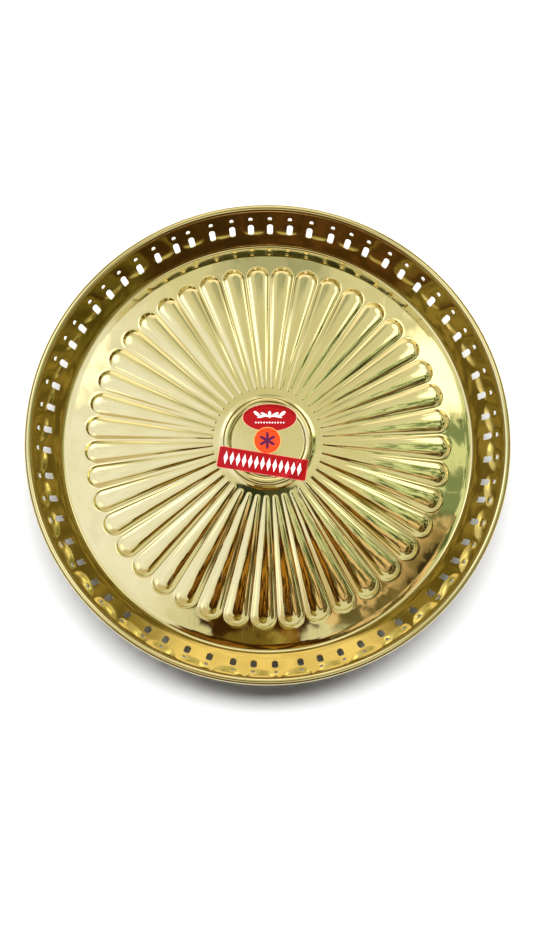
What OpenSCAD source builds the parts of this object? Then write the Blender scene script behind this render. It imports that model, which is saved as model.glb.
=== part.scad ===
// Round brass serving tray, 12 inch size.
// One pressed sheet with a flat floor, a ring of raised petals, a round boss bead, a flared
// wall with two rows of punched openings, and an edge rolled over a wire. Three paper labels.
// Millimetres. +Z is up, and the origin is the centre of the face that the tray rests on.

/* [Tray] */
// Diameter over the rolled edge
tray_d = 305; // [300:1:315]
// Height from the table to the top of the rolled edge
tray_h = 31; // [30:0.5:36]
// Thickness of the sheet
sheet_t = 0.8; // [0.6:0.1:1]

/* [Floor and wall] */
// Inside diameter where the floor meets the wall
foot_d = 280; // [274:1:284]
// Inside radius of the corner between floor and wall
corner_r = 2.5; // [1.5:0.5:4]

/* [Rolled edge] */
// Outside diameter of the roll
roll_d = 5; // [4.5:0.1:6]
// Diameter of the wire inside the roll
wire_d = 3.2; // [2:0.1:3.2]

/* [Boss] */
// Outside diameter of the round bead at the centre
boss_d = 61; // [55:1:64]
// Width of the bead
boss_w = 5.6; // [5:0.2:8]
// Rise of the bead above the floor
boss_rise = 1.2; // [1.2:0.1:2.2]

/* [Petals] */
// Number of petals
petal_n = 42; // [24:1:42]
// Radius that the outer ends of the petals reach
petal_reach = 124.5; // [122:0.5:128]
// Radius where the petals start
petal_start = 37; // [36:0.5:44]
// Width of a petal at its broad end
petal_w = 16; // [10:0.5:16]
// Width of a petal at its narrow end
petal_tip_w = 3.2; // [2.4:0.1:3.4]
// Rise of the petals above the floor
petal_rise = 1.2; // [1.2:0.1:2.4]
// How far the petals crowd towards one side, in degrees
petal_drift = 2.8; // [0:0.1:2.8]

/* [Openings in the wall] */
// Number of slots, each with a small round hole above it
slot_n = 64; // [32:1:64]
// Width of a slot
slot_w = 4; // [3:0.1:5]
// Length of a slot along the wall
slot_l = 8.8; // [7:0.1:10]
// Height of the middle of the slots
slot_z = 15; // [13.5:0.1:15.5]
// Diameter of a round hole
hole_d = 2.8; // [2:0.1:3.2]
// Height of the middle of the round holes
hole_z = 23.6; // [23:0.1:24.2]
// How far the slots crowd towards one side, in degrees
slot_crowd = 1.8; // [0:0.1:2]
// How far the slots crowd towards two opposite sides, in degrees
slot_waver = 1.3; // [0:0.1:1.5]
// Largest error of a single slot's place around the tray, in degrees
slot_drift = 0.55; // [0:0.05:0.6]

/* [Labels] */
// Thickness of the label paper
paper_t = 0.15; // [0.1:0.05:0.2]
// Length of the oval label
oval_l = 37.5; // [24:0.5:38]
// Height of the oval label
oval_h = 19; // [12:0.2:19.2]
// Diameter of the round label
dot_d = 18.5; // [18:0.5:20]
// Length of the long label
strip_l = 61; // [40:0.5:62]
// Height of the long label
strip_h = 14.6; // [14:0.2:16]
// Turn of the long label, in degrees
strip_turn = -9.3; // [-10:0.1:-8]

/* [Hidden] */
$fn = 96;
brass = "#c9ab4a";
steel = "#8d8f92";
red = "#b90a18";
orange = "#f4421c";

floor_z = sheet_t;                       // top face of the floor
roll_r = roll_d / 2;
roll_c = [tray_d / 2 - roll_r, tray_h - roll_r];  // centre of the roll, [radius, height]
wall_bot = [foot_d / 2, floor_z];        // inside face of the wall, bottom and top
wall_top = [roll_c[0] - roll_r, roll_c[1]];
wall_lean = atan2(wall_top[0] - wall_bot[0], wall_top[1] - wall_bot[1]);
wall_out = sheet_t / cos(wall_lean);     // thickness of the wall measured along a radius
seam_gap = 0.1;                          // the roll's inside face clears the wire by this

boss_r = boss_d / 2;
boss_mid = boss_r - boss_w / 2;          // radius of the crest of the bead

petal_step = 360 / petal_n;
petal_turn = 82.4;                       // direction of the first petal
petal_bunch = 22.4;                      // direction that the petals crowd away from, from the first
petal_shoulder = 1.2;                    // the top of a petal is this much smaller all round
petal_foot_rise = petal_rise * 0.6;      // height of the lower step of a petal
petal_mid = petal_reach - petal_w / 2;   // centre of the round outer end
petal_tip = petal_start + petal_tip_w / 2;

slot_step = 360 / slot_n;
slot_turn = 89.8;                        // direction of the first slot
slot_crowd_at = 143;                     // where the slots crowd, from the first
slot_waver_at = 47;
slot_corner = slot_w * 0.45;             // corner radius of a slot
cut_l = 10;                              // length of the tools that punch the wall

oval_at = [1.3, 16.2];                   // middles of the labels
dot_at = [-0.3, 0.4];
strip_at = [-3.6, -15.4];
strip_corner = 1.5;                      // corner radius of the long label
oval_points = 40;

overlap = 0.01;                          // solids that join run this far into each other

// Radius of the inside face of the wall at a height
function wall_r(z) = wall_bot[0] + (z - wall_bot[1]) * tan(wall_lean);

// Direction of a petal; the die's petals are not quite evenly spaced
function petal_angle(i) = petal_turn - i * petal_step + petal_drift * cos(i * petal_step - petal_bunch);

// The openings were punched by eye, so their places crowd and wander
function drift(i, a, b) = 0.6 * sin(i * a) + 0.4 * sin(i * b + 40);
function slot_angle(i) = let (a = i * slot_step)
    slot_turn - a + slot_crowd * cos(a - slot_crowd_at) + slot_waver * cos(2 * a - slot_waver_at)
    + slot_drift * drift(i, 97, 211);
function hole_angle(i) = slot_angle(i) + 0.3 * drift(i, 151, 67);

// Points along an arc, from angle a0 to a1
function arc(c, r, a0, a1, n) =
    [for (i = [0:n]) let (a = a0 + (a1 - a0) * i / n) [c[0] + r * cos(a), c[1] + r * sin(a)]];

// Points of a box of size w by h with round corners, n steps to a corner
function rounded_box(w, h, r, n) =
    let (x = w / 2 - r, y = h / 2 - r, corners = [[x, y, 0], [-x, y, 90], [-x, -y, 180], [x, -y, 270]])
    [for (c = corners) each arc([c[0], c[1]], r, c[2], c[2] + 90, n)];

// Section through the floor corner and the wall: inside face going up, outside face coming down
module shell_section() {
    c_in = [wall_bot[0] - corner_r * tan(45 - wall_lean / 2), floor_z + corner_r];
    inner = arc(c_in, corner_r, -90, -wall_lean, 8);
    outer = arc(c_in, corner_r + sheet_t, -wall_lean, -90, 8);
    top_in = wall_top;
    top_out = [wall_top[0] + wall_out, wall_top[1]];
    polygon(concat([[0, 0], [0, floor_z]], inner, [top_in, top_out], outer));
}

// Section of a crest of width w and rise h that stands on the height z
module crest_section(mid, w, h, z) {
    r = (w * w / 4 + h * h) / (2 * h);
    intersection() {
        translate([mid, z + h - r]) circle(r = r, $fn = 128);
        translate([mid - w / 2, z - overlap]) square([w, h + 1]);
    }
}

// Outline of one petal along +X, smaller all round by inset: round outer end, narrow inner end
module petal_outline(inset) {
    r_out = petal_w / 2 - inset;
    r_in = petal_tip_w / 2 - inset * 0.6;
    lean = asin((r_out - r_in) / (petal_mid - petal_tip));
    polygon(concat(arc([petal_mid, 0], r_out, -90 - lean, 90 + lean, 9),
                   arc([petal_tip, 0], r_in, 90 + lean, 270 - lean, 3)));
}

// Every petal as a plate of one outline
module petal_plates(inset, z, h) {
    translate([0, 0, z]) linear_extrude(h)
        for (i = [0:petal_n - 1]) rotate(petal_angle(i)) petal_outline(inset);
}

// A rounded slot standing upright, as a cutter along +X
module slot_cutter() {
    rotate([90, 0, 90]) linear_extrude(cut_l, center = true)
        polygon(rounded_box(slot_w, slot_l, slot_corner, 3));
}

// Slots and round holes, square to the leaning wall
module wall_cutters() {
    for (i = [0:slot_n - 1]) {
        rotate(slot_angle(i)) translate([wall_r(slot_z), 0, slot_z])
            rotate([0, wall_lean, 0]) slot_cutter();
        rotate(hole_angle(i)) translate([wall_r(hole_z), 0, hole_z])
            rotate([0, 90 + wall_lean, 0]) cylinder(d = hole_d, h = cut_l, center = true, $fn = 24);
    }
}

// The pressed sheet: floor, petals, boss bead, wall and rolled edge
module tray_pan() {
    color(brass) difference() {
        union() {
            rotate_extrude($fn = 192) {
                shell_section();
                crest_section(boss_mid, boss_w, boss_rise, floor_z);
                translate(roll_c) circle(r = roll_r);
            }
            petal_plates(0, floor_z - overlap, petal_foot_rise + overlap);
            petal_plates(petal_shoulder, floor_z, petal_rise);
        }
        // hollow undersides, so that the sheet keeps its thickness
        petal_plates(sheet_t, -1, 1 + petal_foot_rise);
        petal_plates(sheet_t + petal_shoulder * 0.6, -1, 1 + petal_rise);
        rotate_extrude($fn = 192) {
            crest_section(boss_mid, boss_w - 2 * sheet_t, boss_rise, 0);
            translate(roll_c) circle(d = wire_d + 2 * seam_gap);
        }
        wall_cutters();
    }
}

// The wire that stiffens the rolled edge
module rim_wire() {
    color(steel) rotate_extrude($fn = 192) translate(roll_c) circle(d = wire_d);
}

// A skin over the floor disc and the boss bead, between two heights above the sheet
module skin(low, high) {
    rotate_extrude($fn = 192) difference() {
        raised_ground(high);
        raised_ground(low);
    }
}

// Section of the floor and bead, raised by lift
module raised_ground(lift) {
    translate([0, -1]) square([boss_r + 8, 1 + floor_z + lift]);
    crest_section(boss_mid, boss_w + 2 * lift, boss_rise, floor_z + lift);
}

// Outlines of the labels on the floor plane
module oval_outline() {
    step = 360 / oval_points;
    translate(oval_at)
        polygon([for (i = [0:oval_points - 1]) [oval_l / 2 * cos(i * step), oval_h / 2 * sin(i * step)]]);
}
module dot_outline() { translate(dot_at) circle(d = dot_d); }
module strip_outline() {
    translate(strip_at) rotate(strip_turn) polygon(rounded_box(strip_l, strip_h, strip_corner, 4));
}

// A label: the skin between two heights, cut to an outline
module label(low, high) {
    intersection() {
        skin(low, high);
        linear_extrude(10) children();
    }
}

module label_oval() { color(red) label(0, paper_t) oval_outline(); }

// The round label lies partly on the oval one
module label_round() {
    color(orange) difference() {
        label(0, 2 * paper_t) dot_outline();
        label(-1, paper_t) oval_outline();
    }
}

// The long label lies on top, across the bead
module label_strip() {
    color(red) difference() {
        label(0, 3 * paper_t) strip_outline();
        label(-1, 2 * paper_t) dot_outline();
    }
}

tray_pan();
rim_wire();
label_oval();
label_round();
label_strip();
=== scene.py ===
import math
import bpy
import numpy as np
from mathutils import Matrix, Vector


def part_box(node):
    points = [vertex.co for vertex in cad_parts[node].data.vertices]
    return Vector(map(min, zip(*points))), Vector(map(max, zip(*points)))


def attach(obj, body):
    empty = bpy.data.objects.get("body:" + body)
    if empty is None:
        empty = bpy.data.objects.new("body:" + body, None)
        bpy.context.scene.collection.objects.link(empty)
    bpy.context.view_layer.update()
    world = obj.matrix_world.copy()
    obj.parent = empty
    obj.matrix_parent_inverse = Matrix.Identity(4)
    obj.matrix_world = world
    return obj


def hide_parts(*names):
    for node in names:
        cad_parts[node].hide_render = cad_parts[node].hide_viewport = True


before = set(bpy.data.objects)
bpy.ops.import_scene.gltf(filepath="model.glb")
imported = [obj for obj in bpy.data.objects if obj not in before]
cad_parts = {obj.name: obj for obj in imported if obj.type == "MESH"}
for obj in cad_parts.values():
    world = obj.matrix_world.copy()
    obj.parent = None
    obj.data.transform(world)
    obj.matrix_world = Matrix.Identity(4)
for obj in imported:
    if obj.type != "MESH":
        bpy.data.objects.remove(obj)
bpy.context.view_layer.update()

scene = bpy.context.scene
scene.view_settings.view_transform = "Standard"
panLow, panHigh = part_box("tray_pan")
rimRadius = (panHigh.x - panLow.x) / 2
trayHeight = panHigh.z

# Camera: above the tray, a little towards the near edge
cameraPlace = {
    "place": (-0.0024, -0.0583, 0.350),
    "tilt": 5.9,              # degrees, towards the far edge
    "lean": -0.25,
    "focal": 518.2,           # in the units of the frame's height
    "frameHeight": 947,
    "sensor": 36,
}


def makeCamera():
    data = bpy.data.cameras.new("camera")
    data.sensor_width = cameraPlace["sensor"]
    data.lens = cameraPlace["focal"] / cameraPlace["frameHeight"] * cameraPlace["sensor"]
    data.clip_start = 0.01
    camera = bpy.data.objects.new("camera", data)
    scene.collection.objects.link(camera)
    turn = Matrix.Rotation(math.radians(cameraPlace["tilt"]), 4, "X")
    turn = turn @ Matrix.Rotation(math.radians(cameraPlace["lean"]), 4, "Y")
    camera.matrix_world = Matrix.Translation(cameraPlace["place"]) @ turn
    scene.camera = camera


# Helpers for meshes and node trees

def newObject(name, verts, faces, smooth=True):
    mesh = bpy.data.meshes.new(name)
    mesh.from_pydata([tuple(v) for v in verts], [], [tuple(f) for f in faces])
    mesh.update()
    if smooth:
        mesh.shade_smooth()
    made = bpy.data.objects.new(name, mesh)
    scene.collection.objects.link(made)
    return made


def bakeModifiers(made):
    # the evaluated shape becomes a plain mesh and the modifiers go
    shape = made.evaluated_get(bpy.context.evaluated_depsgraph_get())
    mesh = bpy.data.meshes.new_from_object(shape)
    made.modifiers.clear()
    made.data = mesh
    return mesh


def smoothStep(x):
    x = np.clip(x, 0, 1)
    return x * x * (3 - 2 * x)


def softEdge(x, width):
    # 0 below zero, x above it, with a round bend between -width and width
    bend = (np.clip(x, -width, width) + width) ** 2 / (4 * width)
    return np.where(x > width, x, bend)


class Nodes:
    # a node tree with short calls: add a node, set its sockets, link values in
    def __init__(self, tree):
        self.tree = tree

    def add(self, kind, **sets):
        node = self.tree.nodes.new(kind)
        for key, value in sets.items():
            setattr(node, key, value)
        return node

    def feed(self, socket, value):
        if isinstance(value, bpy.types.NodeSocket):
            self.tree.links.new(value, socket)
        else:
            socket.default_value = value

    def math(self, operation, *values, clamp=False):
        node = self.add("ShaderNodeMath", operation=operation, use_clamp=clamp)
        for socket, value in zip(node.inputs, values):
            self.feed(socket, value)
        return node.outputs[0]

    def vector(self, operation, *values):
        node = self.add("ShaderNodeVectorMath", operation=operation)
        for socket, value in zip(node.inputs, values):
            self.feed(socket, value)
        return node.outputs["Value" if operation in ("DOT_PRODUCT", "LENGTH") else "Vector"]

    def ramp(self, value, low, high, out0=0.0, out1=1.0, smooth=True):
        node = self.add("ShaderNodeMapRange", interpolation_type="SMOOTHSTEP" if smooth else "LINEAR")
        keys = ("Value", "From Min", "From Max", "To Min", "To Max")
        for key, given in zip(keys, (value, low, high, out0, out1)):
            self.feed(node.inputs[key], given)
        return node.outputs[0]

    def mix(self, factor, a, b):
        node = self.add("ShaderNodeMix", data_type="RGBA")
        sockets = (node.inputs["Factor"], node.inputs[6], node.inputs[7])
        for socket, value in zip(sockets, (factor, a, b)):
            self.feed(socket, value)
        return node.outputs[2]

    def noise(self, vector, scale, detail=2.0, roughness=0.5):
        node = self.add("ShaderNodeTexNoise")
        self.feed(node.inputs["Vector"], vector)
        node.inputs["Scale"].default_value = scale
        node.inputs["Detail"].default_value = detail
        node.inputs["Roughness"].default_value = roughness
        return node.outputs["Fac"]


# The pressed sheet: floor with petals and bead, wall with openings, rolled edge

pan = {
    "sheet": 0.0008,
    "footRadius": 0.140,       # inside foot of the wall
    "cornerRadius": 0.0025,
    "rollRadius": 0.0025,
    "rollEnd": -138,           # degrees round the roll where the sheet ends, under the rim
    "rollSteps": 14,
    "sharpAngle": 48,          # edges sharper than this are not smoothed, degrees
    "bossRadius": 0.0305,
    "bossWidth": 0.0056,
    "bossRise": 0.0010,
    "bossSkirt": 0.00035,      # the floor is drawn up a little outside the bead
    "bossSkirtWidth": 0.0016,
}
petal = {
    "count": 42,
    "first": 82.4,             # direction of the first petal, degrees
    "drift": 2.8,              # how far the petals crowd, degrees
    "bunch": 22.4,
    "reach": 0.1245,
    "start": 0.037,
    "width": 0.016,
    "tipWidth": 0.0032,
    "rise": 0.00095,
    "crown": 3.6,              # higher is a flatter top with steeper sides
    "crownIn": 2.2,            # the same at the narrow end, where a petal is a plain ridge
    "crownRun": 0.062,         # length over which the one becomes the other
    "dome": 0.05,              # share of the rise that is one gentle curve from side to side
    "fade": 0.072,             # length over which a petal rises from its narrow end
    "tipRise": 0.12,
    "fold": 0.08,              # roundness of the fold at its foot, at the broad and the narrow end
    "foldIn": 0.22,
    "ringIn": 0.0355,          # the pressed ring, inside and outside
    "ringOut": 0.1272,
}
slot = {
    "count": 64,
    "first": 89.8,
    "crowd": 1.8,              # the openings crowd to one side, degrees, and where they do
    "crowdAt": 143,
    "waver": 1.3,
    "waverAt": 47,
    "drift": 0.55,
    "width": 0.004,
    "length": 0.0088,
    "corner": 0.0018,
    "height": 0.015,
    "holeWidth": 0.0028,
    "holeHeight": 0.0236,
    "margin": 0.0009,          # sheet between an opening and the edge of its panel
    "dimple": 0.00006,         # the round holes sit in shallow dimples
    "dimpleWidth": 0.0010,
    "columns": 6,              # columns of faces to one opening
}
floorTop = pan["sheet"]


def petalRise(x, part):
    # height of a petal at x along it; part is 0 at its foot and 1 on its middle line
    grow = petal["tipRise"] + (1 - petal["tipRise"]) * np.clip((x - petal["start"]) / petal["fade"], 0, 1)
    broad = smoothStep((x - petal["start"]) / petal["crownRun"])
    crown = petal["crownIn"] + (petal["crown"] - petal["crownIn"]) * broad
    fold = petal["foldIn"] + (petal["fold"] - petal["foldIn"]) * broad
    part = np.clip(softEdge(part, fold), 0, 1)
    sides, dome = 1 - (1 - part) ** crown, 1 - (1 - part) ** 2
    return petal["rise"] * grow * (sides + petal["dome"] * (dome - sides))


def wedgeReach(a, direction, half):
    # distance from (a, 0) along direction to the edge of the wedge |angle| < half
    c, s = math.cos(direction), abs(math.sin(direction))
    hits = []
    lean = s - c * math.tan(half)
    if lean > 1e-9:
        hits.append(a * math.tan(half) / lean)
    for radius in (petal["ringOut"], petal["ringIn"]):
        b, rest = a * c, a * a - radius * radius
        if b * b - rest > 0:
            root = math.sqrt(b * b - rest)
            hits += [t for t in (-b - root, -b + root) if t > 1e-9]
    return min(hits)


def petalWedge():
    # one petal in its wedge of floor, along +X, in rings that follow its outline
    half = math.pi / petal["count"]
    big, small = petal["width"] / 2, petal["tipWidth"] / 2
    out, inn = petal["reach"] - big, petal["start"] + small
    lean = math.asin((big - small) / (out - inn))
    outCorner = math.atan2(petal["ringOut"] * math.sin(half), petal["ringOut"] * math.cos(half) - out)
    inCorner = math.atan2(petal["ringIn"] * math.sin(half), petal["ringIn"] * math.cos(half) - inn)
    side = math.pi / 2 + lean
    upper = [(out, a, big) for a in np.linspace(0, outCorner, 6)]
    upper += [(out, a, big) for a in np.linspace(outCorner, side, 7)[1:]]
    upper += [(out + (inn - out) * k, side, big + (small - big) * k) for k in np.linspace(0, 1, 14)[1:]]
    upper += [(inn, a, small) for a in np.linspace(side, inCorner, 3)[1:]]
    upper += [(inn, a, small) for a in np.linspace(inCorner, math.pi, 2)[1:]]
    outline = upper + [(m, -a, w) for m, a, w in upper[-2:0:-1]]
    # distances in from the outline, as a part of the half width; the outer rings keep inside the wedge
    parts = [-0.28, -0.13, -0.025, 0.0, 0.03, 0.07, 0.12, 0.19, 0.28, 0.42, 0.65]
    room = {-0.28: 0.76, -0.13: 0.55}
    verts, faces = [], []
    for m, a, w in outline:
        far = wedgeReach(m, a, half)
        verts.append((m + far * math.cos(a), far * math.sin(a), floorTop))
    for part in parts:
        for m, a, w in outline:
            reach = w * (1 - part)
            if part in room:
                reach = min(reach, w + room[part] * (wedgeReach(m, a, half) - w))
            z = floorTop + float(petalRise(m, 1 - reach / w))
            verts.append((m + reach * math.cos(a), reach * math.sin(a), z))
    count = len(outline)
    for ring in range(len(parts)):
        for k in range(count):
            n = (k + 1) % count
            a, b = ring * count, (ring + 1) * count
            faces.append((a + k, a + n, b + n, b + k))
    # the middle line closes the petal
    spine = {}
    for k, (m, a, w) in enumerate(outline):
        key = round(m, 7)
        if key not in spine:
            spine[key] = len(verts)
            verts.append((m, 0, floorTop + float(petalRise(m, 1.0))))
    last = len(parts) * count
    for k in range(count):
        n = (k + 1) % count
        a, b = spine[round(outline[k][0], 7)], spine[round(outline[n][0], 7)]
        faces.append((last + k, last + n, b) if a == b else (last + k, last + n, b, a))
    return newObject("petalWedge", verts, faces)


def petalRingTree():
    # repeats the wedge round the tray, joins the copies and lets them crowd to one side
    tree = bpy.data.node_groups.new("petalRing", "GeometryNodeTree")
    face = tree.interface
    face.new_socket("Geometry", in_out="INPUT", socket_type="NodeSocketGeometry")
    face.new_socket("Petals", in_out="INPUT", socket_type="NodeSocketInt")
    for name in ("First petal", "Drift", "Bunch"):
        face.new_socket(name, in_out="INPUT", socket_type="NodeSocketFloat")
    face.new_socket("Finish", in_out="INPUT", socket_type="NodeSocketMaterial")
    face.new_socket("Geometry", in_out="OUTPUT", socket_type="NodeSocketGeometry")
    n = Nodes(tree)
    given = n.add("NodeGroupInput").outputs
    points = n.add("GeometryNodePoints")
    n.feed(points.inputs["Count"], given["Petals"])
    step = n.math("DIVIDE", -2 * math.pi, given["Petals"])
    index = n.add("GeometryNodeInputIndex").outputs[0]
    angle = n.math("MULTIPLY_ADD", index, step, given["First petal"])
    turn = n.add("ShaderNodeCombineXYZ")
    n.feed(turn.inputs["Z"], angle)
    copies = n.add("GeometryNodeInstanceOnPoints")
    n.feed(copies.inputs["Points"], points.outputs[0])
    n.feed(copies.inputs["Instance"], given["Geometry"])
    n.feed(copies.inputs["Rotation"], turn.outputs[0])
    real = n.add("GeometryNodeRealizeInstances")
    n.feed(real.inputs[0], copies.outputs[0])
    joined = n.add("GeometryNodeMergeByDistance")
    n.feed(joined.inputs["Geometry"], real.outputs[0])
    n.feed(joined.inputs["Distance"], 0.00002)
    place = n.add("GeometryNodeInputPosition").outputs[0]
    split = n.add("ShaderNodeSeparateXYZ")
    n.feed(split.inputs[0], place)
    here = n.math("ARCTAN2", split.outputs["Y"], split.outputs["X"])
    along = n.math("SUBTRACT", n.math("SUBTRACT", given["First petal"], here), given["Bunch"])
    shift = n.math("MULTIPLY", given["Drift"], n.math("COSINE", along))
    spin = n.add("ShaderNodeVectorRotate", rotation_type="Z_AXIS")
    n.feed(spin.inputs["Vector"], place)
    n.feed(spin.inputs["Angle"], shift)
    moved = n.add("GeometryNodeSetPosition")
    n.feed(moved.inputs["Geometry"], joined.outputs[0])
    n.feed(moved.inputs["Position"], spin.outputs[0])
    painted = n.add("GeometryNodeSetMaterial")
    n.feed(painted.inputs["Geometry"], moved.outputs[0])
    n.feed(painted.inputs["Material"], given["Finish"])
    n.feed(n.add("NodeGroupOutput").inputs[0], painted.outputs[0])
    return tree


def setInputs(modifier, **values):
    for item in modifier.node_group.interface.items_tree:
        key = item.name.replace(" ", "")
        if item.in_out == "INPUT" and key in values:
            modifier[item.identifier] = values[key]


def pressedFloor(brass):
    wedge = petalWedge()
    modifier = wedge.modifiers.new("petalRing", "NODES")
    modifier.node_group = petalRingTree()
    setInputs(modifier, Petals=petal["count"], Firstpetal=math.radians(petal["first"]),
              Drift=math.radians(petal["drift"]), Bunch=math.radians(petal["bunch"]), Finish=brass)
    mesh = bakeModifiers(wedge)
    verts = np.empty(len(mesh.vertices) * 3)
    mesh.vertices.foreach_get("co", verts)
    faces = [tuple(p.vertices) for p in mesh.polygons]
    bpy.data.objects.remove(wedge)
    return verts.reshape(-1, 3), faces


def loopAt(verts, radius):
    # the ring of points at that radius, in order round the tray
    r = np.hypot(verts[:, 0], verts[:, 1])
    found = np.nonzero(np.abs(r - radius) < 2e-5)[0]
    return found[np.argsort(np.arctan2(verts[found, 1], verts[found, 0]))]


def bossHeight(r, crease=0.05):
    # crease is how far the fold at the foot of the bead is rounded out
    width, rise, edge = pan["bossWidth"], pan["bossRise"], pan["bossRadius"]
    arc = (width * width / 4 + rise * rise) / (2 * rise)
    inside = softEdge(1 - np.abs(r - edge + width / 2) / (width / 2), crease)
    across = np.clip(1 - inside, 0, 1) * width / 2
    skirt = math.exp(-(max(r - edge, 0) / pan["bossSkirtWidth"]) ** 2) * smoothStep(1 - (edge - r) / width)
    return np.sqrt(arc * arc - across * across) - (arc - rise) + pan["bossSkirt"] * skirt


def bossPart(angles):
    # bead and disc, spun on the directions of the pressed ring's inner points
    edge, inner = pan["bossRadius"], pan["bossRadius"] - pan["bossWidth"]
    steps = list(np.linspace(edge + 2.4 * pan["bossSkirtWidth"], edge + 0.0004, 7))
    steps += list(np.linspace(edge, inner, 17))
    steps += [inner - 0.0004, inner - 0.0010, inner - 0.004, inner * 0.55, inner * 0.25]
    verts, faces = [], []
    for r in steps:
        z = floorTop + float(bossHeight(r))
        verts += [(r * math.cos(a), r * math.sin(a), z) for a in angles]
    verts.append((0, 0, floorTop))
    count = len(angles)
    for ring in range(len(steps) - 1):
        for k in range(count):
            n = (k + 1) % count
            a, b = ring * count, (ring + 1) * count
            faces.append((a + k, a + n, b + n, b + k))
    last = (len(steps) - 1) * count
    faces += [(last + k, last + (k + 1) % count, len(verts) - 1) for k in range(count)]
    return np.array(verts), faces


def stitch(outer, outerAngles, inner, innerAngles):
    # triangles between two rings of different counts, both in order round the tray
    faces, i, j = [], 0, 0
    n, m = len(outer), len(inner)
    start = int(np.argmin(np.abs(np.angle(np.exp(1j * (innerAngles - outerAngles[0]))))))
    inner, innerAngles = np.roll(inner, -start), np.roll(innerAngles, -start)
    turnOuter = np.unwrap(np.append(outerAngles, outerAngles[0] + 2 * math.pi))
    turnInner = np.unwrap(np.append(innerAngles, innerAngles[0] + 2 * math.pi))
    turnInner += 2 * math.pi * round((turnOuter[0] - turnInner[0]) / (2 * math.pi))
    while i < n or j < m:
        if j >= m or (i < n and turnOuter[i + 1] <= turnInner[j + 1]):
            faces.append((outer[i % n], outer[(i + 1) % n], inner[j % m]))
            i += 1
        else:
            faces.append((outer[i % n], inner[(j + 1) % m], inner[j % m]))
            j += 1
    return faces


def wander(i, a, b):
    # the openings were punched by eye
    return 0.6 * math.sin(math.radians(i * a)) + 0.4 * math.sin(math.radians(i * b + 40))


def slotAngle(i):
    i = i % slot["count"]
    a = i * 360 / slot["count"]
    crowd = slot["crowd"] * math.cos(math.radians(a - slot["crowdAt"]))
    waver = slot["waver"] * math.cos(math.radians(2 * a - slot["waverAt"]))
    return slot["first"] - a + crowd + waver + slot["drift"] * wander(i, 97, 211)


def holeAngle(i):
    i = i % slot["count"]
    return slotAngle(i) + 0.3 * wander(i, 151, 67)


class WallLine:
    # the wall's section as one line: corner, leaning wall, roll; at(t) gives radius, height, normal
    def __init__(self):
        self.roll = (rimRadius - pan["rollRadius"], trayHeight - pan["rollRadius"])
        across, up = self.roll[0] - pan["footRadius"], self.roll[1] - floorTop
        self.lean = math.atan2(across, up) - math.asin(pan["rollRadius"] / math.hypot(across, up))
        self.corner = pan["cornerRadius"]
        reach = self.corner * math.tan(math.pi / 4 - self.lean / 2)
        self.cornerPlace = (pan["footRadius"] - reach, floorTop + self.corner)
        self.cornerLength = self.corner * (math.pi / 2 - self.lean)
        self.wallLength = math.sqrt(across ** 2 + up ** 2 - pan["rollRadius"] ** 2) - reach
        sweep = math.pi - self.lean - math.radians(pan["rollEnd"])
        self.rollLength = pan["rollRadius"] * sweep
        self.start = (self.cornerPlace[0] + self.corner * math.cos(self.lean),
                      self.cornerPlace[1] - self.corner * math.sin(self.lean))

    def at(self, t):
        if t <= 0:
            return (self.cornerPlace[0] + t, floorTop, 0, 1)
        if t < self.cornerLength:
            a = -math.pi / 2 + t / self.corner
            r, z = self.cornerPlace
            c, s = math.cos(a), math.sin(a)
            return (r + self.corner * c, z + self.corner * s, -c, -s)
        t -= self.cornerLength
        if t <= self.wallLength:
            c, s = math.cos(self.lean), math.sin(self.lean)
            return (self.start[0] + t * s, self.start[1] + t * c, -c, s)
        a = math.pi - self.lean - (t - self.wallLength) / pan["rollRadius"]
        c, s = math.cos(a), math.sin(a)
        return (self.roll[0] + pan["rollRadius"] * c, self.roll[1] + pan["rollRadius"] * s, c, s)

    def height(self, z):
        # distance along the line to a height on the leaning wall
        return self.cornerLength + (z - self.start[1]) / math.cos(self.lean)


def roundedBox(width, length, corner, steps):
    # points of an opening from its lower left corner, counterclockwise; steps along each straight side
    x, y = width / 2 - corner, length / 2 - corner
    points = []

    def bendPoint(cx, cy, turn):
        a = math.radians(turn)
        return (cx + corner * math.cos(a), cy + corner * math.sin(a))

    # centre of a corner's bend, its direction, and the way along the side that follows
    sides = ((-x, -y, 225, 1, 0), (x, -y, 315, 0, 1), (x, y, 45, -1, 0), (-x, y, 135, 0, -1))
    for cx, cy, turn, alongX, alongY in sides:
        points += [bendPoint(cx, cy, turn), bendPoint(cx, cy, turn + 22.5)]
        startX, startY = bendPoint(cx, cy, turn + 45)
        runX, runY = alongX * 2 * x, alongY * 2 * y
        points += [(startX + runX * k / (steps - 1), startY + runY * k / (steps - 1)) for k in range(steps)]
        points.append(bendPoint(cx + runX, cy + runY, turn + 67.5))
    return points


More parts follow.
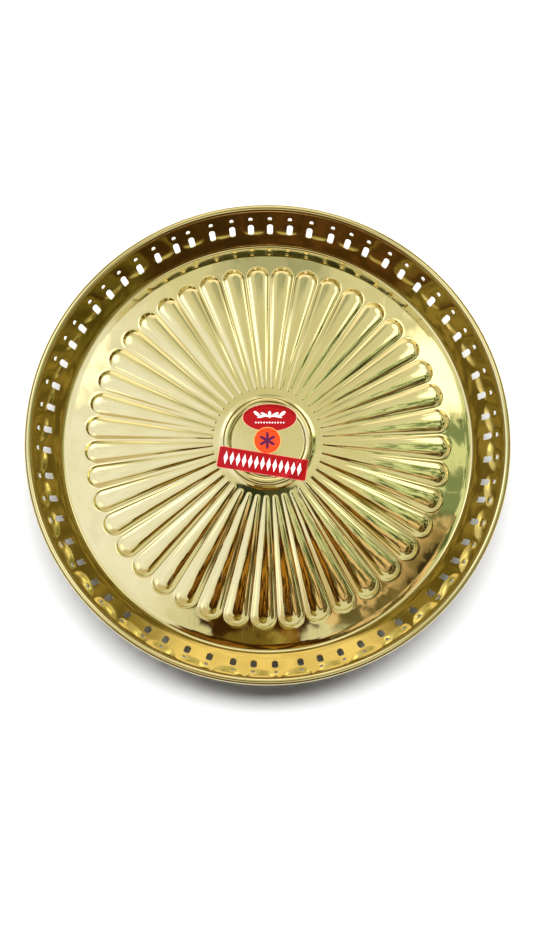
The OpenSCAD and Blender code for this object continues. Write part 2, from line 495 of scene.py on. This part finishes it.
def wallPart():
    line = WallLine()
    count, cols = slot["count"], slot["columns"]
    centres = [math.radians(slotAngle(i)) for i in range(count)]
    verts, faces, known = [], [], {}

    def point(angle, t, push=0.0):
        r, z, nr, nz = line.at(t)
        return ((r + push * nr) * math.cos(angle), (r + push * nr) * math.sin(angle), z + push * nz)

    def gridPoint(i, c, t):
        # a point on the shared grid: column c of sector i, at distance t
        key = ((i * cols + c) % (count * cols), round(t, 7))
        if key not in known:
            known[key] = len(verts)
            verts.append(point(columnAngle(i, c), t))
        return known[key]

    def edgeAngle(i):
        # halfway between slot i - 1 and slot i
        before = math.radians(slotAngle(i - 1) + (360 if i % count == 0 else 0))
        return (before + centres[i % count]) / 2 - (2 * math.pi if i == count else 0)

    def columnAngle(i, c):
        return edgeAngle(i) + (edgeAngle(i + 1) - edgeAngle(i)) * c / cols

    def plainRow(i, t0, t1):
        for c in range(cols):
            low = (gridPoint(i, c + 1, t0), gridPoint(i, c, t0))
            faces.append(low + (gridPoint(i, c, t1), gridPoint(i, c + 1, t1)))

    def panel(i, t0, t1, rows, outline, centre, middle, parts, dimple):
        # a rectangle of wall with an opening in it; columns run clockwise, seen from above
        around = [(cols - c, t0) for c in range(cols)]
        around += [(0, t0 + (t1 - t0) * k / rows) for k in range(rows)]
        around += [(c, t1) for c in range(cols)]
        around += [(cols, t1 - (t1 - t0) * k / rows) for k in range(rows)]
        edge = [gridPoint(i, c, t) for c, t in around]
        flat = [(columnAngle(i, c), t) for c, t in around]
        radius = line.at(middle)[0]
        last = edge
        for part in parts:
            ring = []
            for (a, t), (x, y) in zip(flat, outline):
                ax, ty = centre + x / radius, middle + y
                a2, t2 = ax + (a - ax) * part, ty + (t - ty) * part
                away = math.hypot((a2 - centre) * radius, t2 - middle) - slot["holeWidth"] / 2
                push = -dimple * math.exp(-(max(away, 0) / slot["dimpleWidth"]) ** 2) if dimple else 0.0
                ring.append(len(verts))
                verts.append(point(a2, t2, push))
            faces.extend((last[k], last[(k + 1) % len(edge)], ring[(k + 1) % len(edge)], ring[k])
                         for k in range(len(edge)))
            last = ring

    slotAt, holeAt = line.height(slot["height"]), line.height(slot["holeHeight"])
    slotEdge, holeEdge = slot["length"] / 2 + slot["margin"], slot["holeWidth"] / 2 + 1.7 * slot["margin"]
    slotShape = roundedBox(slot["width"], slot["length"], slot["corner"], 3)
    hole = slot["holeWidth"] / 2
    flatRing = [-0.0085, -0.004, 0.0]
    cornerRows = list(np.linspace(0, line.cornerLength, 6))
    wallEnd = line.cornerLength + line.wallLength
    rollRows = list(wallEnd + line.rollLength * np.linspace(0, 1, pan["rollSteps"] + 1))
    lowRows = cornerRows + [slotAt - slotEdge]
    topRows = [holeAt + holeEdge, (holeAt + holeEdge + wallEnd) / 2] + rollRows
    holeTurns = [math.radians(225 + 360 * k / 20) for k in range(20)]  # from the panel's first corner
    holeShape = [(hole * math.cos(a), hole * math.sin(a)) for a in holeTurns]
    for i in range(count):
        centre, holeCentre = centres[i], math.radians(holeAngle(i))
        for rows in (flatRing, lowRows, topRows):
            for t0, t1 in zip(rows, rows[1:]):
                plainRow(i, t0, t1)
        panel(i, slotAt - slotEdge, slotAt + slotEdge, 6, slotShape, centre, slotAt, (0.3, 0.0), 0.0)
        plainRow(i, slotAt + slotEdge, holeAt - holeEdge)
        panel(i, holeAt - holeEdge, holeAt + holeEdge, 4, holeShape, holeCentre, holeAt,
              (0.55, 0.28, 0.12, 0.0), slot["dimple"])
    first = [known[(k, round(flatRing[0], 7))] for k in range(count * cols)]
    return np.array(verts), faces, np.array(first)


def brassTray(brass):
    floorVerts, floorFaces = pressedFloor(brass)
    inner = loopAt(floorVerts, petal["ringIn"])
    outer = loopAt(floorVerts, petal["ringOut"])
    angles = np.arctan2(floorVerts[:, 1], floorVerts[:, 0])
    bossVerts, bossFaces = bossPart(angles[inner])
    wallVerts, wallFaces, first = wallPart()
    bossStart = len(floorVerts)
    wallStart = bossStart + len(bossVerts)
    verts = np.vstack([floorVerts, bossVerts, wallVerts])
    faces = floorFaces + [tuple(k + bossStart for k in f) for f in bossFaces]
    faces += [tuple(k + wallStart for k in reversed(f)) for f in wallFaces]
    count = len(inner)
    for k in range(count):
        n = (k + 1) % count
        faces.append((inner[k], inner[n], bossStart + n, bossStart + k))
    turn = np.arctan2(wallVerts[first, 1], wallVerts[first, 0])
    order = np.argsort(turn)
    faces += stitch(first[order] + wallStart, turn[order], outer, angles[outer])
    made = newObject("brassTray", verts, faces)
    mesh = made.data
    up = sum(p.normal.z * p.area for p in mesh.polygons)
    print("pressed surface", len(verts), "points, faces up" if up > 0 else "points, faces down")
    thick = made.modifiers.new("sheet", "SOLIDIFY")
    thick.thickness = pan["sheet"]
    thick.offset = -1
    mesh = bakeModifiers(made)
    mesh.set_sharp_from_angle(angle=math.radians(pan["sharpAngle"]))
    mesh.materials.clear()
    mesh.materials.append(brass)
    print("tray", sum(len(p.vertices) - 2 for p in mesh.polygons), "triangles")
    return made


# Paper labels
paper = {
    "thick": 0.00015,
    "gap": 0.00002,            # glue between a label and what it lies on
    "step": 0.0012,            # width of the step over the edge of a label underneath
    "crease": 0.45,            # how softly the paper bends over the bead
    "sharpAngle": 50,
    "oval": {
        "centre": (0.0013, 0.0162), "size": (0.0375, 0.019),
        "ground": (0.34, 0.003, 0.005, 1), "ink": (0.88, 0.86, 0.84, 1), "edge": (0.85, 0.55, 0.38, 1),
    },
    "dot": {
        "centre": (-0.0003, 0.0004), "size": (0.0185, 0.0185),
        "ground": (0.90, 0.062, 0.012, 1), "ink": (0.085, 0.008, 0.045, 1), "edge": (0.95, 0.45, 0.12, 1),
    },
    "strip": {
        "centre": (-0.0036, -0.0154), "size": (0.061, 0.0146), "turn": -9.3, "corner": 0.0015,
        "ground": (0.34, 0.003, 0.005, 1), "ink": (0.90, 0.88, 0.86, 1), "edge": (0.72, 0.12, 0.12, 1),
    },
}


def ovalDepth(label, x, y):
    # how far inside an oval or round label a point is, in metres; negative outside
    (cx, cy), (w, h) = label["centre"], label["size"]
    scaled = np.hypot((x - cx) / (w / 2), (y - cy) / (h / 2))
    return (1 - scaled) * min(w, h) / 2


def groundHeight(x, y):
    # paper bridges the fold at the foot of the bead
    return floorTop + float(bossHeight(math.hypot(x, y), paper["crease"]))


def labelHeight(name, x, y):
    # paper lies on the sheet and steps up over a label under it
    lift = paper["gap"] + paper["thick"]
    if name == "dot":
        lift += paper["thick"] * float(smoothStep(0.5 + ovalDepth(paper["oval"], x, y) / paper["step"]))
    if name == "strip":
        lift += paper["thick"] * float(smoothStep(0.5 + ovalDepth(paper["dot"], x, y) / paper["step"]))
    return groundHeight(x, y) + lift


def paperSheet(name, verts, faces, material):
    made = newObject(name + "Label", verts, faces)
    thick = made.modifiers.new("paper", "SOLIDIFY")
    thick.thickness = paper["thick"]
    thick.offset = -1
    mesh = bakeModifiers(made)
    mesh.set_sharp_from_angle(angle=math.radians(paper["sharpAngle"]))
    mesh.materials.clear()
    mesh.materials.append(material)
    return made


def roundLabel(name, count, material):
    # rings from the edge to the middle
    label = paper[name]
    (cx, cy), (w, h) = label["centre"], label["size"]
    rings = [1.0, 0.98] + list(np.linspace(0.95, 0.05, 25))
    angles = np.linspace(0, 2 * math.pi, count, endpoint=False)
    verts, faces = [], []
    for part in rings:
        for a in angles:
            x, y = cx + w / 2 * part * math.cos(a), cy + h / 2 * part * math.sin(a)
            verts.append((x, y, labelHeight(name, x, y)))
    verts.append((cx, cy, labelHeight(name, cx, cy)))
    for ring in range(len(rings) - 1):
        for k in range(count):
            n = (k + 1) % count
            a, b = ring * count, (ring + 1) * count
            faces.append((a + k, a + n, b + n, b + k))
    last = (len(rings) - 1) * count
    faces += [(last + k, last + (k + 1) % count, len(verts) - 1) for k in range(count)]
    return paperSheet(name, verts, faces, material)


def stripLabel(name, columns, rows, material):
    # a grid with round corners, turned and laid over the bead
    label = paper[name]
    (cx, cy), (w, h), corner = label["centre"], label["size"], label["corner"]
    turn = math.radians(label["turn"])
    across = np.concatenate([-w / 2 + corner * (1 - np.cos(np.linspace(0, math.pi / 2, 6))),
                             np.linspace(-w / 2 + corner, w / 2 - corner, columns)[1:-1],
                             w / 2 - corner * (1 - np.sin(np.linspace(0, math.pi / 2, 6)))])
    verts, faces = [], []
    for u in across:
        past = max(abs(u) - (w / 2 - corner), 0)
        limit = h / 2 - corner + math.sqrt(max(corner ** 2 - past ** 2, 0))
        for v in np.linspace(-limit, limit, rows + 1):
            x = cx + u * math.cos(turn) - v * math.sin(turn)
            y = cy + u * math.sin(turn) + v * math.cos(turn)
            verts.append((x, y, labelHeight(name, x, y)))
    for i in range(len(across) - 1):
        for j in range(rows):
            k = i * (rows + 1) + j
            faces.append((k, k + rows + 1, k + rows + 2, k + 1))
    return paperSheet(name, verts, faces, material)


# Finishes

brassLook = {
    "colour": (0.780, 0.675, 0.345, 1),
    "deep": (0.710, 0.590, 0.250, 1),     # slightly darker where polish wore thin
    "roughness": 0.03,
    "wallRoughness": 0.07,
    "smudge": 0.03,                       # roughness that finger marks add at most
    "marks": 0.0000008,                   # depth of the turning marks, and what disc and wall add to it
    "discMarks": 0.0000500,
    "wallMarks": 0.0000030,
    "waves": 0.00007,                     # unevenness of the sheet, on the floor and on the wall
    "wallWaves": 0.00011,
    "scratches": 0.0000035,
}
steelLook = {
    "dark": (0.42, 0.42, 0.43, 1),
    "light": (0.56, 0.56, 0.57, 1),
}


def newMaterial(name):
    made = bpy.data.materials.new(name)
    made.use_nodes = True
    made.node_tree.nodes.clear()
    n = Nodes(made.node_tree)
    shader = n.add("ShaderNodeBsdfPrincipled")
    n.feed(n.add("ShaderNodeOutputMaterial").inputs["Surface"], shader.outputs[0])
    return made, n, shader


def addRelief(n, shader, height):
    # height in metres, as fine relief of the surface
    bump = n.add("ShaderNodeBump")
    bump.inputs["Strength"].default_value = 1.0
    bump.inputs["Distance"].default_value = 1.0
    n.feed(bump.inputs["Height"], height)
    n.feed(shader.inputs["Normal"], bump.outputs[0])


def polishedBrass():
    made, n, shader = newMaterial("polishedBrass")
    place = n.add("ShaderNodeTexCoord").outputs["Object"]
    split = n.add("ShaderNodeSeparateXYZ")
    n.feed(split.inputs[0], place)
    flat = n.add("ShaderNodeCombineXYZ")
    n.feed(flat.inputs["X"], split.outputs["X"])
    n.feed(flat.inputs["Y"], split.outputs["Y"])
    radius = n.vector("LENGTH", flat.outputs[0])
    turn = n.math("ARCTAN2", split.outputs["Y"], split.outputs["X"])
    onWall = n.ramp(split.outputs["Z"], 0.0035, 0.006)
    onDisc = n.ramp(radius, 0.0235, 0.0245, 1.0, 0.0)

    # turning marks: very fine rings, clearest on the centre disc
    rings = n.add("ShaderNodeCombineXYZ")
    n.feed(rings.inputs["X"], radius)
    n.feed(rings.inputs["Y"], n.math("MULTIPLY", turn, 0.0006))
    n.feed(rings.inputs["Z"], split.outputs["Z"])
    fine = n.noise(rings.outputs[0], 2600, 3.0, 0.6)
    broad = n.noise(rings.outputs[0], 700, 1.0, 0.5)
    marks = n.math("ADD", n.math("MULTIPLY", fine, 0.6), n.math("MULTIPLY", broad, 0.7))
    markDepth = n.math("ADD", brassLook["marks"], n.math("MULTIPLY", onDisc, brassLook["discMarks"]))
    markDepth = n.math("ADD", markDepth, n.math("MULTIPLY", onWall, brassLook["wallMarks"]))

    # hand-worked unevenness of the sheet, stronger on the wall
    wave = n.noise(place, 38, 2.0, 0.55)
    waveDepth = n.ramp(onWall, 0.0, 1.0, brassLook["waves"], brassLook["wallWaves"], smooth=False)
    relief = n.math("ADD", n.math("MULTIPLY", marks, markDepth), n.math("MULTIPLY", wave, waveDepth))

    # hairline scratches in two directions
    for scale, stretch, angle in ((240, 0.03, 0.5), (300, 0.025, 2.1)):
        spin = n.add("ShaderNodeMapping")
        n.feed(spin.inputs["Vector"], place)
        spin.inputs["Rotation"].default_value = (0, 0, angle)
        spin.inputs["Scale"].default_value = (1, stretch, 1)
        hair = n.noise(spin.outputs[0], scale, 1.0, 0.4)
        line = n.ramp(n.math("ABSOLUTE", n.math("SUBTRACT", hair, 0.5)), 0.0, 0.006, 1.0, 0.0)
        patch = n.ramp(n.noise(place, 55 + scale / 20, 1.0), 0.56, 0.66)
        scratch = n.math("MULTIPLY", n.math("MULTIPLY", line, patch), brassLook["scratches"])
        relief = n.math("SUBTRACT", relief, scratch)
    addRelief(n, shader, relief)

    # colour: a slow drift of tone, and small specks
    tone = n.noise(place, 26, 3.0, 0.55)
    speck = n.ramp(n.noise(place, 900, 2.0, 0.5), 0.70, 0.78)
    tint = n.math("ADD", n.ramp(tone, 0.35, 0.75, 0.0, 0.45), n.math("MULTIPLY", speck, 0.4), clamp=True)
    n.feed(shader.inputs["Base Color"], n.mix(tint, brassLook["colour"], brassLook["deep"]))
    smudge = n.ramp(n.noise(place, 70, 4.0, 0.65), 0.45, 0.8, 0.0, brassLook["smudge"])
    rough = n.ramp(onWall, 0.0, 1.0, brassLook["roughness"], brassLook["wallRoughness"], smooth=False)
    n.feed(shader.inputs["Roughness"], n.math("ADD", rough, smudge))
    shader.inputs["Metallic"].default_value = 1.0
    return made


def drawnSteel():
    made, n, shader = newMaterial("drawnSteel")
    place = n.add("ShaderNodeTexCoord").outputs["Object"]
    streak = n.noise(place, 800, 3.0)
    n.feed(shader.inputs["Base Color"], n.mix(streak, steelLook["dark"], steelLook["light"]))
    n.feed(shader.inputs["Roughness"], n.ramp(streak, 0.2, 0.8, 0.3, 0.5))
    shader.inputs["Metallic"].default_value = 1.0
    return made


def printedPaper(name, label, drawMarks):
    # glossy paper in the label's ground colour; drawMarks gives the masks of its ink and its edge
    made, n, shader = newMaterial(name)
    place = n.add("ShaderNodeTexCoord").outputs["Object"]
    centred = n.add("ShaderNodeMapping", vector_type="TEXTURE")
    n.feed(centred.inputs["Vector"], place)
    centred.inputs["Location"].default_value = (*label["centre"], 0)
    centred.inputs["Rotation"].default_value = (0, 0, math.radians(label.get("turn", 0)))
    split = n.add("ShaderNodeSeparateXYZ")
    n.feed(split.inputs[0], centred.outputs[0])
    mask, border = drawMarks(n, split.outputs["X"], split.outputs["Y"])
    fibre = n.noise(place, 1800, 3.0, 0.6)
    darker = tuple(c * 0.86 for c in label["ground"][:3]) + (1,)
    shade = n.mix(n.ramp(fibre, 0.35, 0.7), label["ground"], darker)
    colour = n.mix(mask, shade, label["ink"])
    n.feed(shader.inputs["Base Color"], n.mix(border, colour, label["edge"]))
    crease = n.noise(place, 120, 2.0, 0.5)
    relief = n.math("ADD", n.math("MULTIPLY", fibre, 0.000002), n.math("MULTIPLY", crease, 0.00006))
    addRelief(n, shader, relief)
    n.feed(shader.inputs["Roughness"], n.ramp(fibre, 0.3, 0.8, 0.16, 0.26))
    shader.inputs["Specular IOR Level"].default_value = 0.25
    return made


def ellipse(n, x, y, cx, cy, rx, ry, turn=0.0, soft=0.06):
    # 1 inside an ellipse, 0 outside
    c, s = math.cos(turn), math.sin(turn)
    dx, dy = n.math("SUBTRACT", x, cx), n.math("SUBTRACT", y, cy)
    u = n.math("ADD", n.math("MULTIPLY", dx, c / rx), n.math("MULTIPLY", dy, s / rx))
    v = n.math("SUBTRACT", n.math("MULTIPLY", dy, c / ry), n.math("MULTIPLY", dx, s / ry))
    d = n.math("ADD", n.math("MULTIPLY", u, u), n.math("MULTIPLY", v, v))
    return n.ramp(d, 1 - soft, 1 + soft, 1.0, 0.0)


def sprigMarks(n, x, y):
    # three leaves each side of a bud, and a row of dots under them; a leaf is place, half sizes, turn
    leaves = ((0.0036, 0.0021, 0.0028, 0.0010, 0.5), (0.0052, 0.0010, 0.0034, 0.0008, -0.25),
              (0.0088, 0.0028, 0.0026, 0.0011, 0.65))
    mask = ellipse(n, x, y, 0, 0.0022, 0.0011, 0.0024)
    for side in (-1, 1):
        for px, py, rx, ry, turn in leaves:
            mask = n.math("MAXIMUM", mask, ellipse(n, x, y, side * px, py, rx, ry, side * turn))
    for k in range(-5, 6):
        mask = n.math("MAXIMUM", mask, ellipse(n, x, y, k * 0.0019, -0.0034, 0.00055, 0.00055, 0, 0.2))
    (w, h) = paper["oval"]["size"]
    u, v = n.math("DIVIDE", x, w / 2), n.math("DIVIDE", y, h / 2)
    d = n.math("ADD", n.math("MULTIPLY", u, u), n.math("MULTIPLY", v, v))
    return mask, n.ramp(d, 0.955, 0.965)


def starMarks(n, x, y):
    # a plain six-pointed star
    turn = n.math("ARCTAN2", x, y)
    wave = n.math("COSINE", n.math("MULTIPLY", turn, 6.0))
    both = n.add("ShaderNodeCombineXYZ")
    n.feed(both.inputs["X"], x)
    n.feed(both.inputs["Y"], y)
    r = n.vector("LENGTH", both.outputs[0])
    limit = n.math("ADD", 0.0040, n.math("MULTIPLY", wave, 0.0020))
    mask = n.ramp(n.math("SUBTRACT", limit, r), -0.0001, 0.0001)
    return mask, n.ramp(r, 0.00885, 0.0089)


def lozengeMarks(n, x, y):
    # a row of upright lozenges, inside a thin edge
    pitch = 0.0042
    cell = n.math("SUBTRACT", n.math("FRACT", n.math("ADD", n.math("DIVIDE", x, pitch), 100.5)), 0.5)
    across = n.math("DIVIDE", n.math("ABSOLUTE", cell), 0.36)
    up = n.math("DIVIDE", n.math("ABSOLUTE", y), 0.0046)
    shape = n.ramp(n.math("ADD", across, up), 0.97, 1.03, 1.0, 0.0)
    ends = n.ramp(n.math("ABSOLUTE", x), 0.0271, 0.0273, 1.0, 0.0)
    mask = n.math("MULTIPLY", shape, ends)
    (w, h) = paper["strip"]["size"]
    inset = n.math("MAXIMUM", n.math("SUBTRACT", n.math("ABSOLUTE", x), w / 2),
                   n.math("SUBTRACT", n.math("ABSOLUTE", y), h / 2))
    return mask, n.ramp(inset, -0.00032, -0.00026)


# Floor and studio light

studio = {
    "floorColour": (0.70, 0.70, 0.70, 1),
    "keyPower": 405,
    "keyPlace": (0.0, 2.3, 3.5),
    "keySize": (5.0, 1.3),            # wide, so that shadows at the sides stay soft
    "skyOnFloor": 0.03,
    "floorSize": 9.0,                 # half its width
    "floorFade": (0.6, 2.0),          # where it brightens into the backdrop
    "backdrop": (1, 1, 1, 1),
    "wobble": 45,                     # the patches' edges wander: fineness and amount
    "wobbleAmount": (0.07, 0.07, 0.0),
}
# The studio as the metal sees it, in round patches: direction, inner and outer width in degrees, the two
# colours that it is mottled with, and the fineness of the mottle. Later ones cover earlier ones.
skyColours = (0.17, 0.14, 0.05), (0.42, 0.36, 0.16)
skyPatches = [
    ((0.0, -1.0, 0.12), 30, 50, (0.10, 0.05, 0.02), (0.14, 0.07, 0.03), 14),       # dark end of the room
    ((0.0, 0.0, 1.0), 33, 48, (0.84, 0.86, 0.72), (0.90, 0.92, 0.78), 14),         # ceiling
    ((-0.45, 0.1, 0.9), 15, 25, (1.04, 1.10, 1.28), (1.12, 1.18, 1.40), 14),       # white wall on the left
    ((-0.30, -0.38, 1.0), 8, 13, (0.70, 0.60, 0.42), (0.78, 0.68, 0.50), 14),
    ((0.0, 0.74, 0.70), 11, 20, (1.26, 1.16, 0.98), (1.56, 1.44, 1.25), 14),       # window
    ((0.02, 0.56, 1.0), 3, 8, (0.46, 0.50, 0.40), (0.54, 0.58, 0.48), 14),
    ((0.04, 0.30, 1.0), 4, 9, (0.78, 0.78, 0.60), (0.82, 0.82, 0.64), 14),
    ((0.50, 0.08, 1.0), 9, 14, (0.07, 0.09, 0.03), (0.60, 0.68, 0.44), 14),        # things on the right
    ((0.29, 0.12, 1.0), 6, 7, (0.26, 0.35, 0.20), (0.88, 1.02, 0.72), 20),
    ((0.29, -0.02, 1.0), 3.5, 4, (0.18, 0.20, 0.09), (1.10, 0.82, 0.52), 20),
    ((0.22, 0.03, 1.0), 2.5, 3, (0.10, 0.15, 0.08), (0.70, 0.84, 0.56), 20),
    ((0.17, -0.09, 1.0), 5, 6, (0.16, 0.14, 0.06), (0.95, 0.70, 0.44), 20),
    ((0.42, -0.16, 1.0), 8, 10, (0.05, 0.04, 0.02), (0.26, 0.20, 0.09), 14),
    ((-0.40, 0.33, 0.85), 4, 9, (2.6, 2.6, 2.5), (2.6, 2.6, 2.5), 14),             # lamps
    ((-0.42, -0.10, 0.90), 3, 7, (1.6, 1.6, 1.6), (1.6, 1.6, 1.6), 14),
    ((0.38, 0.32, 1.0), 3, 6, (2.4, 2.4, 2.2), (2.4, 2.4, 2.2), 14),
    ((0.38, 0.52, 1.0), 3, 6, (2.4, 2.4, 2.2), (2.4, 2.4, 2.2), 14),
    ((0.0, -0.877, 0.482), 12, 20, (0.08, 0.04, 0.02), (0.14, 0.07, 0.035), 14),
    ((-0.44, -0.76, 0.482), 12, 20, (0.09, 0.05, 0.02), (0.16, 0.08, 0.04), 14),
    ((0.36, -0.80, 0.482), 14, 22, (0.06, 0.035, 0.015), (0.10, 0.055, 0.025), 14),
    ((0.76, -0.44, 0.482), 10, 18, (0.11, 0.10, 0.03), (0.22, 0.20, 0.07), 14),
    ((-0.015, -0.13, 1.0), 6.3, 6.8, (0.05, 0.02, 0.004), (0.24, 0.105, 0.015), 14),  # near edge
    ((-0.03, -0.31, 1.0), 6.4, 7.0, (0.20, 0.14, 0.03), (0.46, 0.38, 0.12), 14),
    ((0.02, -0.04, 1.0), 5.2, 5.8, (0.05, 0.022, 0.006), (0.50, 0.24, 0.03), 14),
    ((0.0, 0.06, 1.0), 3.2, 3.6, (0.035, 0.045, 0.02), (0.08, 0.09, 0.045), 14),
]


def makeWorld():
    world = bpy.data.worlds.new("studio")
    scene.world = world
    world.use_nodes = True
    world.node_tree.nodes.clear()
    n = Nodes(world.node_tree)
    way = n.add("ShaderNodeTexCoord").outputs["Generated"]
    wobble = n.add("ShaderNodeTexNoise")
    n.feed(wobble.inputs["Vector"], way)
    wobble.inputs["Scale"].default_value = studio["wobble"]
    wobble.inputs["Detail"].default_value = 3
    shake = n.vector("SUBTRACT", wobble.outputs["Color"], (0.5, 0.5, 0.5))
    shake = n.vector("MULTIPLY", shake, studio["wobbleAmount"])
    way = n.vector("NORMALIZE", n.vector("ADD", way, shake))
    mottles = {scale: n.ramp(n.noise(way, scale, 2.0, 0.6), 0.48, 0.53) for scale in (14, 20)}
    colour = n.mix(mottles[14], (*skyColours[0], 1), (*skyColours[1], 1))
    for axis, inner, outer, dark, light, scale in skyPatches:
        length = math.sqrt(sum(v * v for v in axis))
        near = n.vector("DOT_PRODUCT", way, tuple(v / length for v in axis))
        near = n.ramp(near, math.cos(math.radians(outer)), math.cos(math.radians(inner)))
        colour = n.mix(near, colour, n.mix(mottles[scale], (*dark, 1), (*light, 1)))
    rays = n.add("ShaderNodeLightPath")
    metalSees = n.add("ShaderNodeBackground")
    n.feed(metalSees.inputs["Color"], colour)
    floorSees = n.add("ShaderNodeBackground")
    floorSees.inputs["Color"].default_value = studio["backdrop"]
    floorSees.inputs["Strength"].default_value = studio["skyOnFloor"]
    plain = n.add("ShaderNodeBackground")
    plain.inputs["Color"].default_value = studio["backdrop"]
    lighting = n.add("ShaderNodeMixShader")
    n.feed(lighting.inputs[0], n.math("GREATER_THAN", rays.outputs["Diffuse Depth"], 0.5))
    n.feed(lighting.inputs[1], metalSees.outputs[0])
    n.feed(lighting.inputs[2], floorSees.outputs[0])
    seen = n.add("ShaderNodeMixShader")
    n.feed(seen.inputs[0], rays.outputs["Is Camera Ray"])
    n.feed(seen.inputs[1], lighting.outputs[0])
    n.feed(seen.inputs[2], plain.outputs[0])
    n.feed(n.add("ShaderNodeOutputWorld").inputs["Surface"], seen.outputs[0])


def makeLights():
    data = bpy.data.lights.new("keyLight", "AREA")
    data.shape = "RECTANGLE"
    data.energy = studio["keyPower"]
    data.size, data.size_y = studio["keySize"]
    light = bpy.data.objects.new("keyLight", data)
    scene.collection.objects.link(light)
    light.location = studio["keyPlace"]
    light.rotation_mode = "QUATERNION"
    light.rotation_quaternion = Vector(studio["keyPlace"]).to_track_quat("Z", "Y")
    light.visible_glossy = False


def makeFloor():
    size, z = studio["floorSize"], -0.0001
    verts = [(-size, -size, z), (size, -size, z), (size, size, z), (-size, size, z)]
    floor = newObject("floor", verts, [(0, 1, 2, 3)], smooth=False)
    made, n, shader = newMaterial("paleFloor")
    shader.inputs["Base Color"].default_value = studio["floorColour"]
    shader.inputs["Roughness"].default_value = 0.9
    shader.inputs["Specular IOR Level"].default_value = 0.1
    # away from the tray the floor brightens into the plain backdrop
    away = n.vector("LENGTH", n.add("ShaderNodeTexCoord").outputs["Object"])
    shader.inputs["Emission Color"].default_value = studio["backdrop"]
    n.feed(shader.inputs["Emission Strength"], n.ramp(away, *studio["floorFade"]))
    floor.data.materials.append(made)


# Make everything

makeCamera()
makeWorld()
makeLights()
makeFloor()
print("stage ready")

brass = polishedBrass()
tray = brassTray(brass)
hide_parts("tray_pan")
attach(tray, "root")
print("tray ready")

redGloss = printedPaper("redLabelOval", paper["oval"], sprigMarks)
orangeGloss = printedPaper("orangeLabel", paper["dot"], starMarks)
redStrip = printedPaper("redLabelStrip", paper["strip"], lozengeMarks)
labels = [
    (roundLabel("oval", 128, redGloss), "label_oval", "red_label"),
    (roundLabel("dot", 96, orangeGloss), "label_round", "orange_label"),
    (stripLabel("strip", 110, 30, redStrip), "label_strip", "red_label"),
]
for piece, node, finish in labels:
    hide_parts(node)
    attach(piece, "root")
print("labels ready")

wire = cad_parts["rim_wire"]
for place in wire.material_slots:
    place.material = drawnSteel()
